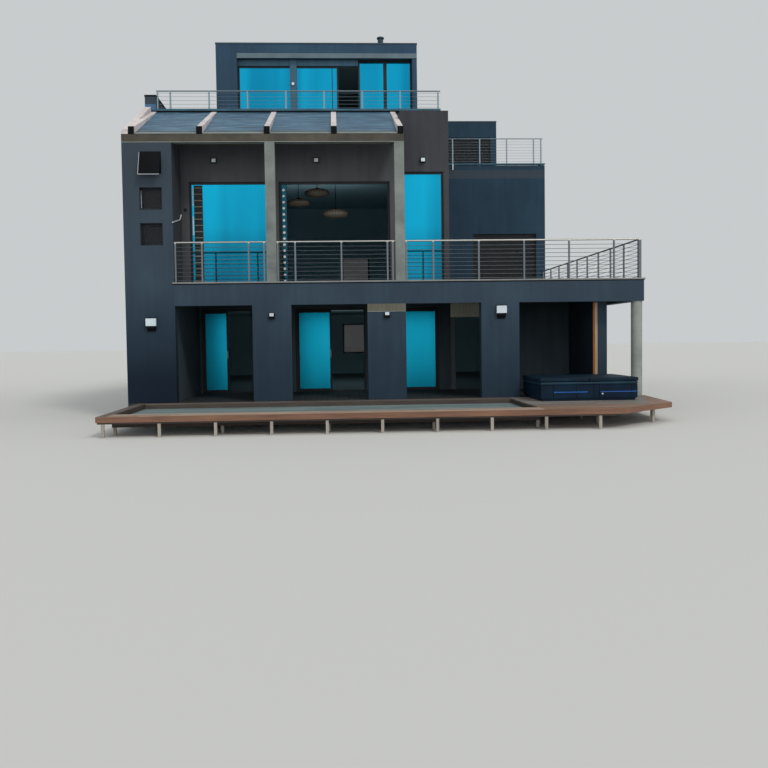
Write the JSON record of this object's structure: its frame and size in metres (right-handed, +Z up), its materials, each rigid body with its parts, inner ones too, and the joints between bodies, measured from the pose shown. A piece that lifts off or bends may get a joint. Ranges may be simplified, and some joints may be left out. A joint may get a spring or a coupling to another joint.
{
  "type": "modern beach house",
  "caption": "House with a ground floor loggia behind piers, a balcony under a raked concrete roof, a set-back top floor, a roof terrace and a timber deck.",
  "frame": {"origin": "middle of the footprint of house and deck, at the lowest ground contact", "axes": "+X along the facade to the right, +Y from the facade into the house, +Z up"},
  "size_m": [12.73, 22.55, 11.934],
  "materials": {
    "plaster": "matte painted render",
    "charcoal_render": "matte painted render",
    "concrete": "fair-faced",
    "roof_metal": "brushed sheet",
    "coping": "smooth, pale",
    "fascia_metal": "satin",
    "steel": "brushed",
    "frame_metal": "satin",
    "shaded_glass": "dark, smooth",
    "glass": "clear, blue reflections",
    "panel": "matte",
    "lantern": "frosted",
    "pendant": "woven",
    "decking": "weathered",
    "timber": "oiled",
    "tub_shell": "satin",
    "tub_cover": "matte vinyl"
  },
  "bodies": {
    "house": {"left_front_wall": "plaster", "left_side_wall": "plaster", "front_piers": "plaster", "ground_right_wall": "plaster", "rear_wall": "plaster", "first_floor_slab": "plaster", "edge_band": "plaster", "terrace_side_wall": "plaster", "block_walls": "plaster", "roof_terrace_slab": "plaster", "bay_roof": "plaster", "terrace_kerbs": "plaster", "left_parapet": "plaster", "top_floor_walls": "plaster", "top_floor_roof": "plaster", "wing_walls": "plaster", "wing_roof": "plaster", "loggia_side_walls": "charcoal_render", "loggia_walls": "charcoal_render", "loggia_lintel": "charcoal_render", "balcony_side_wall": "charcoal_render", "balcony_wall": "charcoal_render", "bay_wall": "charcoal_render", "top_floor_lintel": "charcoal_render", "foundation_walls": "concrete", "ground_floor_slab": "concrete", "round_column": "concrete", "concrete_columns": "concrete", "front_beam": "concrete", "raked_roof": "roof_metal", "roof_ribs": "coping", "left_verge": "coping", "top_floor_fascia": "fascia_metal", "flue": "steel", "balcony_railings": "steel", "side_railing": "steel", "roof_railings": "steel", "window_frames": "frame_metal", "open_window_frame": "frame_metal", "door_frames": "frame_metal", "shaded_window_glass": "shaded_glass", "window_glass": "glass", "door_glass": "glass", "doorway_panel": "panel", "wall_lights": "lantern", "pendant_lamps": "pendant", "deck_boards": "decking", "deck_borders": "timber", "deck_fascia": "timber", "deck_frame": "timber", "deck_posts": "timber", "hot_tub": "tub_shell", "hot_tub_cover": "tub_cover"},
    "door_leaf_1": {"sliding_leaf_1": "frame_metal", "sliding_glass_1": "glass"},
    "door_leaf_2": {"sliding_leaf_2": "frame_metal", "sliding_glass_2": "glass"},
    "door_leaf_3": {"sliding_leaf_3": "frame_metal", "sliding_glass_3": "glass"}
  },
  "joints": [
    {"name": "door_slide_1", "type": "slide", "parent": "house", "child": "door_leaf_1", "axis": [1, 0, 0], "range_m": [0, 0.64]},
    {"name": "door_slide_2", "type": "slide", "parent": "house", "child": "door_leaf_2", "axis": [1, 0, 0], "range_m": [0, 0.92]},
    {"name": "door_slide_3", "type": "slide", "parent": "house", "child": "door_leaf_3", "axis": [-1, 0, 0], "range_m": [0, 0.92]}
  ]
}
